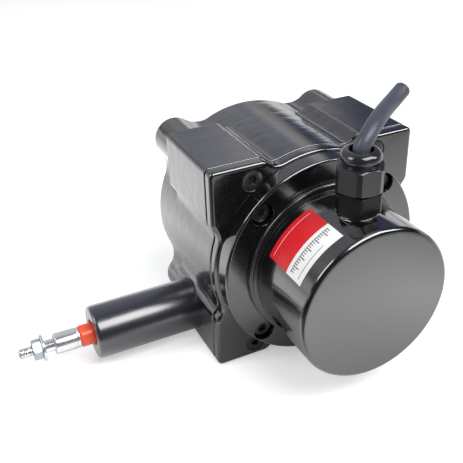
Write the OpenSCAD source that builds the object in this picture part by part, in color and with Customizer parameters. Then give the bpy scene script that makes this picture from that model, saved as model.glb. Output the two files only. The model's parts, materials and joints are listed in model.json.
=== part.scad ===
/* [Housing] */
// Width and height of the square housing
body_w = 82; // [78:1:92]
// Depth of the main housing, front joint to rear joint
housing_d = 35.2; // [34.8:0.1:42]
// Thickness of the front plate
plate_t = 4.6; // [4:0.1:7]
// Rounding of the four outer corners
corner_r = 2; // [0.5:0.1:4]
// How far the round middle of each side stands back from the corner flats
bulge_back = 0.3; // [0.1:0.1:1]
// Middle of the hollow beside each corner block, from the shaft
valley_x = 14.5; // [13:0.1:16]
// Radius of the hollow beside each corner block
valley_r = 6.2; // [5:0.1:8]
// Radius where the hollow runs out into the corner flat
shoulder_r = 4; // [2:0.1:6]
// Least wall between the drum chamber and the outside
housing_wall = 4; // [3:0.1:5]
// Thickness of the wall between drum and spring chambers
rear_wall = 3.3; // [2.5:0.1:3.5]

/* [Rear cover] */
// Depth of the rear spring cover
cover_d = 18.6; // [15:0.1:20]
// How far the round part of the cover stands in from the housing's round sides
cover_step = 0.2; // [0.2:0.1:2]
// Wall of the rear cover
cover_wall = 3; // [2:0.1:4]
// Radius of the screw lobes
lobe_r = 8; // [6:0.1:9]
// Lobe centre in from the housing's side
lobe_edge = 9.1; // [8:0.1:10]
// Radius of the blend between lobe and round part
lobe_blend = 11; // [5:0.5:12]
// Rounding of the rear edge
cover_round = 2.6; // [1:0.1:4]

/* [Encoder flange] */
// Diameter of the adapter disc in front of the plate
flange_dia = 79.4; // [77:0.1:81]
// Thickness of the adapter disc
flange_t = 6.9; // [6.5:0.1:9]
// Edge rounding of the adapter disc
flange_round = 1; // [0.3:0.1:2]
// Pitch circle of the adapter disc screws
flange_pcd = 70; // [69:0.1:71.4]

/* [Encoder] */
// Outer diameter of the encoder cap
cap_dia = 58; // [57:0.5:60]
// Length from the adapter disc to the end of the cap
cap_len = 33.8; // [33:0.1:40]
// Wall of the cap
cap_wall = 1.6; // [1.2:0.1:2]
// Thickness of the end of the cap
cap_end = 2.2; // [1.5:0.1:3]
// Edge rounding of the cap
cap_round = 1.8; // [0.5:0.1:2]
// Diameter of the encoder's base flange
base_dia = 62.4; // [61.4:0.1:63]
// Thickness of the base flange's rim
base_t = 2.2; // [1.8:0.1:3]
// Diameter of the encoder shaft
enc_shaft_d = 6; // [5:0.5:6.5]
// Diameter of the code disc
disc_dia = 43; // [36:0.5:44]
// Number of windows in the code disc
disc_windows = 30; // [12:1:48]

/* [Cable gland] */
// Gland axis from the end of the cap
gland_back = 14.6; // [13.5:0.1:15]
// Width across flats of the gland's nut
gland_af = 15; // [14.5:0.1:16]
// Width across flats of the gland's fixed hexagon
body_af = 14; // [13.6:0.1:16]
// Width of the flat along each corner of the nut
nut_bevel = 1.8; // [0.5:0.1:2.5]
// Diameter of the gland's thread
gland_thread_d = 12; // [11:0.1:12]
// Height of the gland's fixed hexagon
gland_hex_h = 7.9; // [6:0.1:10]
// Height of the nut's hexagon
nut_hex_h = 8.8; // [8:0.1:11]
// Height of the domed top of the nut
nut_dome_h = 4.7; // [4:0.1:6]
// Turn of the nut about its axis
nut_turn = 55; // [0:1:59]
// Outer diameter of the signal cable
cable_dia = 5.6; // [5:0.1:5.8]

/* [Wire outlet] */
// Outer diameter of the outlet tube
tube_dia = 20.8; // [19:0.1:21]
// Length of the outlet tube outside the housing
tube_len = 41; // [30:0.5:60]
// Tube axis in front of the housing's rear face
tube_back = 12.8; // [12.5:0.1:16]
// Bore of the tube's mouth
mouth_dia = 10.4; // [9.6:0.1:12]
// Depth of the mouth to the guide bush
mouth_depth = 6; // [5:0.1:10]
// Length of the wire guide bush
bush_len = 12; // [8:0.5:14]
// Length of the felt wiper
wiper_len = 5; // [3:0.5:8]

/* [Wire and drum] */
// Diameter of the measuring wire
wire_dia = 0.8; // [0.5:0.05:1]
// Radius of the drum under the wire
drum_r = 28; // [26:0.1:29]
// Height of the drum's flanges above its winding surface
drum_flange_h = 3; // [2:0.1:4]
// Thickness of the drum's flanges
drum_flange_t = 1.5; // [1:0.1:2]
// Width of the winding between the flanges
winding_w = 14; // [12:0.1:15]
// Turns of wire on the drum
wire_turns = 11; // [8:1:11]
// Diameter of the drum shaft
shaft_d = 12; // [11:0.1:13]

/* [Wire end] */
// Diameter of the rubber bumper
bumper_dia = 8.4; // [7:0.1:9]
// Length of the bumper outside the tube
bumper_out = 5; // [3:0.1:8]
// Diameter of the ferrule
ferrule_dia = 8; // [7:0.1:9]
// Length of the ferrule
ferrule_len = 9.9; // [8:0.1:14]
// Diameter of the ferrule's neck
neck_dia = 4.8; // [4.6:0.1:6]
// Length of the ferrule's neck
neck_len = 3.7; // [2:0.1:6]
// Nominal diameter of the terminal's stud
stud_dia = 4; // [4, 5]
// Length of the stud beyond the nut
stud_out = 5.2; // [3:0.1:10]
// Diameter of the washer
washer_dia = 10; // [9:0.1:12]
// Thickness of the washer
washer_t = 1; // [0.6:0.1:1.5]
// Width across flats of the hexagon nut
end_nut_af = 7; // [7, 8]
// Thickness of the hexagon nut
end_nut_h = 3.4; // [3:0.1:5]

/* [Fixing holes] */
// Spacing of the base's tapped holes across the housing
base_hole_x = 62; // [60:1:64]
// Spacing of the base's tapped holes along the shaft
base_hole_y = 14; // [12:0.5:14]
// Tapping diameter of the base holes
base_hole_d = 4.2; // [3.3:0.1:4.2]
// Depth of the base holes
base_hole_depth = 8; // [6:0.5:9]
// Front plate screws in from the housing's top and bottom
plate_screw_edge = 6; // [5.5:0.1:6.5]
// Front plate screws to either side of the shaft
plate_screw_x = 25; // [24:0.1:26]

/* [Fits] */
// Radial gap between pieces that turn in each other
run_gap = 0.05; // [0.02:0.01:0.1]
// Gap round pieces that are fitted into a seat
seat_gap = 0.05; // [0.02:0.01:0.1]
// Gap at a soft stop and between loose neighbours
stop_gap = 0.3; // [0.2:0.05:0.5]

/* [Hidden] */
$fn = 96;

h = body_w / 2;
y_joint = plate_t;
y_rear = plate_t + housing_d;
y_end = y_rear + cover_d;
bulge_r = h - bulge_back;
cavity_r = bulge_r - housing_wall;

// hollow and shoulder circles of the outline, each touching the next
valley_z = sqrt(pow(bulge_r + valley_r, 2) - pow(valley_x, 2));
shoulder_z = h - shoulder_r;
flat_x = valley_x + sqrt(pow(shoulder_r + valley_r, 2) - pow(valley_z - shoulder_z, 2));

// bearings of the drum shaft
shaft_r = shaft_d / 2;
race_t = 2.2;
ball_r = 2;
bearing_w = 8;
race_r = shaft_r + run_gap + race_t;
outer_r1 = race_r + 2 * ball_r + 2 * run_gap;
bearing_r = outer_r1 + race_t;
boss_r = bearing_r + 3;
boss_l = 6;
front_b1 = y_joint + boss_l - bearing_w;
front_b2 = y_joint + boss_l;
rear_b1 = y_rear - bearing_w;
lip = 1.2;

// drum
tube_y = y_rear - tube_back;
wire_r = wire_dia / 2;
wind_r = drum_r + wire_r;
tube_z = -wind_r;
drum_y1 = tube_y - winding_w / 2 - drum_flange_t;
drum_y2 = tube_y + winding_w / 2 + drum_flange_t;
rim_t = 3;
web_t = 4;
hub_r = race_r - 0.2;
turn_pitch = winding_w / (wire_turns + 1);

// outlet tube
tube_r = tube_dia / 2;
pocket = 3;
tube_x1 = -h - tube_len;
tube_x2 = -h + pocket;
spigot_r = 8;
spigot_l = 3.4;
wire_bore_r = 3;
mouth_r = mouth_dia / 2;
bush_x = tube_x1 + mouth_depth;
bumper_x = tube_x1 - bumper_out;
ferrule_x = bumper_x - ferrule_len;
neck_x = ferrule_x - neck_len;
washer_x = neck_x - washer_t;
end_nut_x = washer_x - end_nut_h;
stud_x = end_nut_x - stud_out;
stud_thread = 0.38;
core_r = stud_dia / 2 - stud_thread;
pass_r = wire_r + 0.5;
crimp_depth = 3;
wire_x = -sqrt(pow(wind_r, 2) - pow(wind_r - 2 * wire_r - 0.15, 2));

// screws
m4_r = 2;
head_r = 3.5;
head_h = 4;
key_r = 1.6;
cb_r = 4.1;
flange_cb = flange_t - 1.1;
cover_cb = 6;
tap_l = 8;
plate_tap_l = 10;
pin_seat = 2.4;
flange_screw_r = flange_pcd / 2;
csk_r = 3.9;
lobe_c = h - lobe_edge;

// rear cover and spring
cover_r = bulge_r - cover_step;
lobe_round = 1.6;
lobe_drop = 0.8;
spring_room_r = cover_r - cover_wall - 2.4;
spring_y1 = y_rear + 1.4;
spring_y2 = y_end - cover_wall - 1.4;
arbor_r = shaft_r + 3.4;
strip_t = 0.5;
spring_turns = 9;
spring_r1 = arbor_r + stop_gap + strip_t / 2;
pin_r = 1.5;
pin_c = spring_room_r - pin_r - 1.2;
spring_r2 = pin_c - pin_r - stop_gap - strip_t / 2;

// encoder
y_flange = -flange_t;
y_cap = -flange_t - cap_len;
y_lip = y_flange - base_t;
cap_r = cap_dia / 2;
cap_in = cap_r - cap_wall;
enc_r = enc_shaft_d / 2;
pilot_r = 18;
pilot_l = 3.4;
enc_b_w = 5;
enc_b_t = 5;
enc_b_r = enc_r + enc_b_t;
enc_wall = 3;
base_edge = 0.4;
enc_hub_r = enc_b_r + enc_wall;
enc_hub_l = 13.5;
enc_hub_y = y_lip - enc_hub_l;
enc_shoulder = 1.4;
enc_floor_t = 2.6;
cap_lip_t = 2.2;
cap_lip_l = 4.4;
groove_d = 1.4;
groove_y1 = 1.6;
groove_y2 = 3.4;
disc_r = disc_dia / 2;
disc_gap = 4.2;
disc_y = enc_hub_y - disc_gap;
disc_t = 1;
window_l = 2.6;
window_w = 1;
window_in = 4.4;
hub_wall = 2;
hub_l = 2;
hub_rim = 5;
hub_rim_t = 1.6;
enc_tail = 3.4;
sensor_w = 9;
sensor_back = 2.5;
sensor_reach = 6;
sensor_over = 4;
sensor_slot = 0.6;
board_t = 1.6;
board_y = y_cap + cap_end + 1.2;
board_r = cap_in - 0.6;
post_c = cap_in - 2.6;
post_r = 1.6;
clamp_r = shaft_r + 4;
clamp_w = 5.2;
bore_depth = 14;
shaft_y1 = y_flange + 0.7;
seal_r = 0.9;
cord_sides = 10;

// gland
gland_y = y_cap + gland_back;
gland_z = cap_r + 0.6;
gland_r = gland_thread_d / 2;
gland_hole_r = cable_dia / 2 + 0.4;
gland_in = 5;
neck_z = gland_z + gland_hex_h;
nut_z = neck_z + 0.5;
nut_top = nut_z + nut_hex_h;
nut_end = nut_top + nut_dome_h;
thread_h = 6.5;
nut_roof = 0.4;
dome_in = 0.7;
body_bevel = 0.9;
body_turn = 4;
nut_bore_r = gland_r + 0.15;
dome_r = gland_af / 2 - dome_in;
dome_hole_r = cable_dia / 2 + 1.2;

// route of the cable from the top of the gland nut: right, back, up
ROUTE = [
  [0, 0, -26], [0, 0, -14], [0, 0, -6], [0, 0, -1], [0.5, 0.2, 0.8], [2, 0.8, 2.4],
  [4.8, 2.5, 4.1], [7.9, 4.6, 5.2], [12, 7.6, 6], [17.4, 11.4, 6.6], [22.4, 14.5, 7.4],
  [27.4, 17, 9]];

function arc(cx, cy, r, a0, a1, n) =
  [for (i = [0:n]) [cx + r * cos(a0 + (a1 - a0) * i / n), cy + r * sin(a0 + (a1 - a0) * i / n)]];
function clean(p) = [for (i = [0:len(p) - 1]) if (norm(p[i] - p[(i + 1) % len(p)]) > 0.001) p[i]];
function turned(p, a) = [p[0] * cos(a) - p[1] * sin(a), p[0] * sin(a) + p[1] * cos(a)];

// one side of the housing's outline, corner to corner
shoulder_a = atan2(valley_z - shoulder_z, valley_x - flat_x);
valley_a = atan2(valley_z, valley_x);
SIDE = concat(
  arc(flat_x, shoulder_z, shoulder_r, 90, shoulder_a, 5),
  arc(valley_x, valley_z, valley_r, shoulder_a + 180, valley_a + 180, 6),
  arc(0, 0, bulge_r, valley_a, 180 - valley_a, 12),
  arc(-valley_x, valley_z, valley_r, 360 - valley_a, 360 - shoulder_a, 6),
  arc(-flat_x, shoulder_z, shoulder_r, 180 - shoulder_a, 90, 5),
  arc(corner_r - h, h - corner_r, corner_r, 90, 180, 5));

module place() {
  translate([0, -y_joint - housing_d / 2, h]) children();
}

module along_y(y1, y2) {
  translate([0, y2, 0]) rotate([90, 0, 0]) linear_extrude(y2 - y1) children();
}

module rod_y(r, y1, y2) {
  translate([0, y1, 0]) rotate([-90, 0, 0]) cylinder(r = r, h = y2 - y1);
}

module rod_x(r, x1, x2) {
  translate([x1, tube_y, tube_z]) rotate([0, 90, 0]) cylinder(r = r, h = x2 - x1);
}

// revolves a list of [radius, y] points about the shaft
module lathe_y(pts) {
  rotate([-90, 0, 0]) rotate_extrude() polygon(pts);
}

// revolves a list of [radius, x] points about the wire outlet's axis
module lathe_x(pts) {
  translate([0, tube_y, tube_z]) rotate([0, 90, 0]) rotate_extrude() polygon(pts);
}

module ring_y(r1, r2, y1, y2) {
  difference() {
    rod_y(r2, y1, y2);
    rod_y(r1, y1 - 1, y2 + 1);
  }
}

module ring_x(r1, r2, x1, x2) {
  difference() {
    rod_x(r2, x1, x2);
    rod_x(r1, x1 - 1, x2 + 1);
  }
}

module outline() {
  polygon(clean([for (k = [0:3]) for (p = SIDE) turned(p, 90 * k)]));
}

module at_plate_screws() {
  for (sx = [-1, 1]) for (sz = [-1, 1])
    translate([sx * plate_screw_x, 0, sz * (h - plate_screw_edge)]) children();
}

module at_flange_screws() {
  for (a = [45:90:315]) rotate([0, a, 0]) translate([flange_screw_r, 0, 0]) children();
}

module at_lobes() {
  for (sx = [-1, 1]) for (sz = [-1, 1]) translate([sx * lobe_c, 0, sz * lobe_c]) children();
}

// socket head screw, head seated at y, shank towards +Y
module cap_screw(y, shank) {
  difference() {
    union() {
      rod_y(head_r, y - head_h, y);
      rod_y(m4_r, y, y + shank);
    }
    translate([0, y - head_h - 0.01, 0]) rotate([-90, 0, 0]) cylinder(r = key_r, h = 2.2, $fn = 6);
  }
}

// ball bearing without its inner race
module bearing_outer(y) {
  ring_y(outer_r1, bearing_r - seat_gap, y, y + bearing_w);
  for (i = [0:7]) rotate([0, i * 45, 0]) translate([race_r + run_gap + ball_r, y + bearing_w / 2, 0])
    sphere(r = ball_r, $fn = 32);
  for (q = [0.1, bearing_w - 0.7]) ring_y(race_r + 0.2, outer_r1, y + q, y + q + 0.6);
}

module housing_body() {
  color("#1b1d21") place() difference() {
    along_y(y_joint, y_rear) outline();
    difference() {
      rod_y(cavity_r, y_joint - 1, y_rear - rear_wall);
      rod_y(boss_r, rear_b1 - lip, y_rear);
    }
    rod_y(bearing_r, rear_b1, y_rear + 1);
    rod_y(race_r + 1.2, rear_b1 - lip - 1, rear_b1 + 1);
    at_plate_screws() rod_y(m4_r + seat_gap, y_joint - 1, y_joint + plate_tap_l + 1);
    at_lobes() rod_y(m4_r + seat_gap, y_rear - tap_l - 0.2, y_rear + 1);
    translate([0, y_joint + housing_d / 2, 0]) for (sx = [-1, 1]) for (sy = [-1, 1])
      translate([sx * base_hole_x / 2, sy * base_hole_y / 2, -h - 1])
        cylinder(d = base_hole_d, h = base_hole_depth + 1);
    rod_x(tube_r + seat_gap, -h - 1, tube_x2);
    rod_x(spigot_r + seat_gap, -h, tube_x2 + spigot_l + seat_gap);
    rod_x(wire_bore_r, -h, 0);
    rotate([0, 40, 0]) translate([pin_c, 0, 0]) rod_y(pin_r + seat_gap, y_rear - pin_seat, y_rear + 1);
    ring_y(cover_r - 3.1, cover_r - 3.1 + 2 * seal_r, y_rear - 1.2, y_rear + 1);
  }
}

module front_plate() {
  color("#17181b") place() difference() {
    union() {
      along_y(0, y_joint) outline();
      rod_y(boss_r, 0, front_b2);
    }
    rod_y(bearing_r, front_b1, front_b2 + 1);
    rod_y(race_r + 1.2, -1, front_b2);
    at_plate_screws() lathe_y([[0, -1], [csk_r + 0.1, -1], [csk_r + 0.1, 0.3],
      [m4_r + 0.2, 0.3 + csk_r - m4_r], [m4_r + 0.2, y_joint + 1], [0, y_joint + 1]]);
    at_flange_screws() rod_y(m4_r + seat_gap, -1, y_joint + 1);
  }
}

module plate_screws() {
  color("#2b2d31") place() at_plate_screws() difference() {
    lathe_y([[0, 0.1], [csk_r, 0.1], [csk_r, 0.3], [m4_r, 0.4 + csk_r - m4_r],
      [m4_r, y_joint + plate_tap_l], [0, y_joint + plate_tap_l]]);
    translate([0, 0, 0]) rotate([-90, 0, 0]) cylinder(r = key_r, h = 1.6, $fn = 6);
  }
}

// blend between a lobe and the round part of the cover, in the lobe's own direction
blend_d = lobe_c * sqrt(2);
blend_1 = cover_r + lobe_blend;
blend_2 = lobe_r + lobe_blend;
blend_u = (pow(blend_d, 2) + pow(blend_1, 2) - pow(blend_2, 2)) / (2 * blend_d);
blend_v = sqrt(pow(blend_1, 2) - pow(blend_u, 2));
blend_a = atan2(blend_v, blend_u);
blend_b = atan2(blend_v, blend_d - blend_u);
LOBE = concat(
  arc(blend_u, -blend_v, lobe_blend, 180 - blend_a, blend_b, 8),
  arc(blend_d, 0, lobe_r, blend_b - 180, 180 - blend_b, 16),
  arc(blend_u, blend_v, lobe_blend, -blend_b, blend_a - 180, 8),
  arc(0, 0, cover_r, blend_a, 90 - blend_a, 12));

// the round part and the lobes are domed above the common outline
module cover_form() {
  c = cover_round;
  top = y_end - c;
  ease = 0.15;
  along_y(y_rear, top) polygon(clean([for (k = [0:3]) for (p = LOBE) turned(p, 45 + 90 * k)]));
  rotate([-90, 0, 0]) rotate_extrude() polygon(concat(
    [[0, top - 1], [cover_r - ease, top - 1]], arc(cover_r - c, top, c - ease, 0, 90, 8), [[0, y_end - ease]]));
  at_lobes() rotate([-90, 0, 0]) rotate_extrude() polygon(concat(
    [[0, top - 1], [lobe_r - ease, top - 1]],
    arc(lobe_r - lobe_round, y_end - lobe_drop - lobe_round, lobe_round - ease, 0, 90, 6),
    [[0, y_end - lobe_drop - ease]]));
}

module rear_cover() {
  color("#1d1f23") place() difference() {
    cover_form();
    rod_y(spring_room_r, y_rear - 1, y_end - cover_wall);
    at_lobes() rod_y(m4_r + 0.25, y_rear - 1, y_end + 1);
    at_lobes() rod_y(cb_r, y_end - cover_cb, y_end + 1);
  }
}

module cover_screws() {
  color("#3a3c40") place() at_lobes() mirror([0, 1, 0]) cap_screw(cover_cb - y_end, cover_d - cover_cb + tap_l);
}

module cover_seal() {
  color("#151515") place()
    ring_y(cover_r - 3.05, cover_r - 3.15 + 2 * seal_r, y_rear - 1.15, y_rear);
}

module encoder_flange() {
  c = flange_round;
  r = flange_dia / 2;
  color("#191b1e") place() difference() {
    rotate([-90, 0, 0]) rotate_extrude() polygon(concat(
      [[0, 0], [r, 0]], [for (p = arc(r - c, y_flange + c, c, 0, -90, 6)) p], [[0, y_flange]]));
    rod_y(pilot_r + seat_gap, y_flange - 1, y_flange + pilot_l + 0.2);
    rod_y(clamp_r + 2, y_flange - 1, 1);
    at_flange_screws() rod_y(m4_r + 0.2, y_flange - 1, 1);
    at_flange_screws() rod_y(cb_r, y_flange - 1, y_flange + flange_cb);
  }
}

module flange_screws() {
  color("#222326") place() at_flange_screws() cap_screw(y_flange + flange_cb, flange_t - flange_cb + plate_t);
}

module encoder_base() {
  b = base_dia / 2;
  color("#26282c") place() lathe_y([
    [enc_b_r, y_flange], [enc_b_r, y_flange - enc_b_w], [enc_b_r - enc_shoulder, y_flange - enc_b_w],
    [enc_b_r - enc_shoulder, enc_hub_y + enc_b_w], [enc_b_r, enc_hub_y + enc_b_w], [enc_b_r, enc_hub_y],
    [enc_hub_r, enc_hub_y], [enc_hub_r, y_lip - enc_floor_t], [cap_in - cap_lip_t, y_lip - enc_floor_t],
    [cap_in - cap_lip_t, y_lip - cap_lip_l], [cap_in - seat_gap, y_lip - cap_lip_l],
    [cap_in - seat_gap, y_lip - groove_y2], [cap_in - groove_d, y_lip - groove_y2],
    [cap_in - groove_d, y_lip - groove_y1], [cap_in - seat_gap, y_lip - groove_y1],
    [cap_in - seat_gap, y_lip], [b - base_edge, y_lip], [b, y_lip + base_edge], [b, y_flange], [pilot_r, y_flange],
    [pilot_r, y_flange + pilot_l], [clamp_r + 1, y_flange + pilot_l], [clamp_r + 1, y_flange]]);
}

module cap_seal() {
  color("#151515") place()
    ring_y(cap_in - groove_d + seat_gap, cap_in - 0.02, y_lip - groove_y2 + seat_gap, y_lip - groove_y1 - seat_gap);
}

module encoder_cap() {
  c = cap_round;
  color("#16171a") place() difference() {
    union() {
      rotate([-90, 0, 0]) rotate_extrude() polygon(concat(
        [[0, y_cap]], arc(cap_r - c, y_cap + c, c, -90, 0, 8), [[cap_r, y_lip], [0, y_lip]]));
      translate([0, gland_y, cap_r - 5]) cylinder(r = gland_af / 2 - 0.7, h = gland_z - cap_r + 5);
    }
    rod_y(cap_in, y_cap + cap_end, y_lip + 1);
    translate([0, gland_y, 0]) cylinder(r = gland_r + seat_gap, h = gland_z + 1);
  }
}

module outlet_tube() {
  color("#1f2227") place() lathe_x([
    [mouth_r, tube_x1 + 0.3], [mouth_r + 0.3, tube_x1], [tube_r - 0.7, tube_x1], [tube_r, tube_x1 + 0.7],
    [tube_r, tube_x2], [spigot_r + 1.5, tube_x2], [spigot_r + 1.5, tube_x2 - 1.2],
    [spigot_r, tube_x2 - 1.2], [spigot_r, tube_x2 + spigot_l], [wire_bore_r, tube_x2 + spigot_l],
    [wire_bore_r, bush_x + bush_len + wiper_len], [mouth_r, bush_x + bush_len + wiper_len]]);
}

module tube_seal() {
  color("#151515") place() 
    ring_x(spigot_r + seat_gap, spigot_r + 1.5 - seat_gap, tube_x2 - 1.2 + seat_gap, tube_x2);
}

module guide_bush() {
  color("#b08d4a") place() difference() {
    rod_x(mouth_r - seat_gap, bush_x, bush_x + bush_len);
    rod_x(pass_r, bush_x - 1, bush_x + bush_len + 1);
    lathe_x([[0, bush_x - 0.01], [2.4, bush_x - 0.01], [0, bush_x + 2.4]]);
  }
}

module wire_wiper() {
  color("#d8d2c0") place()
    ring_x(wire_r + 0.15, mouth_r - seat_gap, bush_x + bush_len, bush_x + bush_len + wiper_len);
}

module wire_bumper() {
  b = bumper_dia / 2;
  color("#e8481c") place() difference() {
    lathe_x([[0, bumper_x], [b - 0.3, bumper_x], [b, bumper_x + 0.3], [b, tube_x1 + 0.6],
      [b - 1.6, bush_x - stop_gap], [0, bush_x - stop_gap]]);
    rod_x(pass_r, bumper_x - 1, bush_x);
  }
}

module wire_ferrule() {
  f = ferrule_dia / 2;
  n = neck_dia / 2;
  color("#c9ccd0") place() difference() {
    lathe_x([[0, neck_x], [n, neck_x], [n, ferrule_x], [f - 0.5, ferrule_x], [f, ferrule_x + 0.5],
      [f, bumper_x - 0.4], [f - 0.4, bumper_x], [0, bumper_x]]);
    rod_x(core_r + seat_gap, neck_x - 1, neck_x + neck_len);
    rod_x(wire_r + 0.1, bumper_x - crimp_depth, bumper_x + 1);
  }
}

module terminal_stud() {
  s = stud_dia / 2;
  color("#b9bcc1") place()
    lathe_x([[0, stud_x], [s - 0.5, stud_x], [s, stud_x + 0.5], [s, end_nut_x - stop_gap],
      [core_r, end_nut_x - stop_gap], [core_r, neck_x + neck_len],
      [0, neck_x + neck_len]]);
}

module terminal_washer() {
  color("#cfd2d6") place() ring_x(stud_dia / 2 + 0.2, washer_dia / 2, washer_x, neck_x);
}

module terminal_nut() {
  color("#c3c6cb") place() difference() {
    translate([0, tube_y, tube_z]) rotate([0, 90, 0])
      chamfered_hex(end_nut_af, end_nut_x, washer_x, 12, 0.45, 0.45, 0.1);
    rod_x(core_r + seat_gap, end_nut_x - 1, washer_x + 1);
  }
}

module measuring_wire() {
  color("#9fa3a8") place() rod_x(wire_r, bumper_x - crimp_depth + 0.1, wire_x);
}

module wire_drum() {
  t = drum_flange_t;
  f = drum_r + drum_flange_h;
  color("#8d9197") place() lathe_y([
    [shaft_r, front_b2 + 0.1], [hub_r, front_b2 + 0.1], [hub_r, drum_y1], [f, drum_y1],
    [f, drum_y1 + t - 0.5], [drum_r, drum_y1 + t], [drum_r, drum_y2 - t], [f, drum_y2 - t + 0.5],
    [f, drum_y2], [drum_r - rim_t, drum_y2], [drum_r - rim_t, drum_y1 + web_t],
    [hub_r, drum_y1 + web_t], [hub_r, rear_b1 - 0.1], [shaft_r, rear_b1 - 0.1]]);
}

module wound_wire() {
  color("#a4a8ad") place() for (i = [0:wire_turns - 1])
    translate([0, tube_y + (i - (wire_turns - 1) / 2) * turn_pitch, 0]) rotate([-90, 0, 0])
      rotate_extrude() translate([wind_r, 0]) circle(r = wire_r, $fn = 16);
}

module drum_shaft() {
  color("#9a9ea4") place() difference() {
    rod_y(shaft_r, shaft_y1, y_end - cover_wall - stop_gap);
    rod_y(enc_r + seat_gap, shaft_y1 - 1, shaft_y1 + bore_depth);
    rod_y(enc_r + 1, shaft_y1 - 1, shaft_y1 + 0.4);
  }
}

module shaft_clamp() {
  color("#7d8187") place() difference() {
    ring_y(shaft_r + seat_gap, clamp_r, shaft_y1, shaft_y1 + clamp_w);
    translate([0, shaft_y1 + clamp_w / 2, shaft_r - 1]) cylinder(r = 1.5 + seat_gap, h = 8);
  }
}

module clamp_screw() {
  color("#2b2d31") place() translate([0, shaft_y1 + clamp_w / 2, shaft_r + 0.02]) difference() {
    cylinder(r = 1.5, h = clamp_r - shaft_r - 0.4);
    translate([0, 0, clamp_r - shaft_r - 1.6]) cylinder(r = 0.8, h = 2, $fn = 6);
  }
}

module front_bearing() {
  color("#b4b7bb") place() bearing_outer(front_b1);
}

module rear_bearing() {
  color("#b4b7bb") place() bearing_outer(rear_b1);
}

module inner_races() {
  color("#c2c5c9") place() for (y = [front_b1, rear_b1])
    ring_y(shaft_r + seat_gap, race_r, y, y + bearing_w);
}

module spring_arbor() {
  color("#8a8e94") place() ring_y(shaft_r + seat_gap, arbor_r, y_rear + stop_gap, y_end - cover_wall - stop_gap);
}

// flat spiral with an eye round the anchor pin at its outer end
spring_end_a = 40;
function spiral_r(t) = spring_r1 + (spring_r2 - spring_r1) * t;
function spiral_a(t) = spring_end_a - 360 * spring_turns * (1 - t);
function spiral(t, o) = [(spiral_r(t) + o) * cos(spiral_a(t)), (spiral_r(t) + o) * sin(spiral_a(t))];

module power_spring() {
  n = 26 * spring_turns;
  color("#6f7680") place() {
    rotate([-90, 0, 0]) translate([0, 0, spring_y1]) linear_extrude(spring_y2 - spring_y1) difference() {
      union() {
        polygon(concat(
          [for (i = [0:n]) spiral(i / n, strip_t / 2)],
          [for (i = [n:-1:0]) spiral(i / n, -strip_t / 2)]));
        rotate(spring_end_a) translate([pin_c, 0]) circle(r = pin_r + seat_gap + strip_t, $fn = 48);
      }
      rotate(spring_end_a) translate([pin_c, 0]) circle(r = pin_r + seat_gap, $fn = 48);
    }
  }
}

module spring_pin() {
  color("#a0a4a9") place() rotate([0, 40, 0]) translate([pin_c, 0, 0]) rod_y(pin_r, y_rear - pin_seat, spring_y2);
}

module encoder_shaft() {
  color("#aeb1b6") place() rod_y(enc_r, disc_y - enc_tail, shaft_y1 + bore_depth - stop_gap);
}

module encoder_bearings() {
  color("#b4b7bb") place() for (y = [enc_hub_y, y_flange - enc_b_w])
    ring_y(enc_r + run_gap, enc_b_r - seat_gap, y, y + enc_b_w);
}

module code_disc() {
  color("#9fb3bd") place() along_y(disc_y, disc_y + disc_t) difference() {
    circle(r = disc_r);
    circle(r = enc_r + hub_wall + seat_gap);
    for (i = [0:disc_windows - 1]) rotate(i * 360 / disc_windows)
      translate([disc_r - window_in, -window_w / 2]) square([window_l, window_w]);
  }
}

module disc_hub() {
  back = disc_y + disc_t;
  color("#8f9399") place() lathe_y([
    [enc_r + seat_gap, disc_y - hub_l], [enc_r + hub_wall, disc_y - hub_l], [enc_r + hub_wall, back],
    [enc_r + hub_rim, back], [enc_r + hub_rim, back + hub_rim_t], [enc_r + seat_gap, back + hub_rim_t]]);
}

module at_posts() {
  for (a = [45:90:315]) rotate([0, a, 0]) translate([post_c, 0, 0]) children();
}

module board_posts() {
  color("#b08d4a") place() at_posts() rod_y(post_r, board_y + board_t, y_lip - cap_lip_l);
}

module sensor_board() {
  color("#1f6b3a") place() difference() {
    rod_y(board_r, board_y, board_y + board_t);
    rod_y(enc_r + 3, board_y - 1, board_y + board_t + 1);
  }
}

module sensor_head() {
  w = sensor_w;
  y = board_y + board_t;
  s = sensor_slot;
  color("#202226") place() difference() {
    translate([-w / 2, y, -cap_in + sensor_back])
      cube([w, disc_y + disc_t + sensor_over - y, cap_in - sensor_back - disc_r + sensor_reach]);
    translate([-w, disc_y - s, -disc_r - s]) cube([2 * w, disc_t + 2 * s, disc_r]);
  }
}

module hexagon(af, z1, z2, turn) {
  translate([0, 0, z1]) rotate([0, 0, turn]) cylinder(r = af / 2 / cos(30), h = z2 - z1, $fn = 6);
}

// hexagon of width af from z1 to z2, its ends chamfered by c1 and c2 at the corners,
// and each corner taken off to a flat of width flat
module chamfered_hex(af, z1, z2, turn, c1, c2, flat) {
  c = af / 2 / cos(30);
  k = 1 + 1 / (c - af / 2);
  intersection() {
    hexagon(af, z1, z2, turn);
    hexagon(2 * (c - flat / 2 * tan(30)), z1 - 1, z2 + 1, turn + 30);
    rotate_extrude() polygon([[0, z1], [af / 2, z1], [c + 1, z1 + c1 * k], [c + 1, z2 - c2 * k],
      [af / 2, z2], [0, z2]]);
  }
}

module at_gland() {
  translate([0, gland_y, 0]) children();
}

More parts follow.
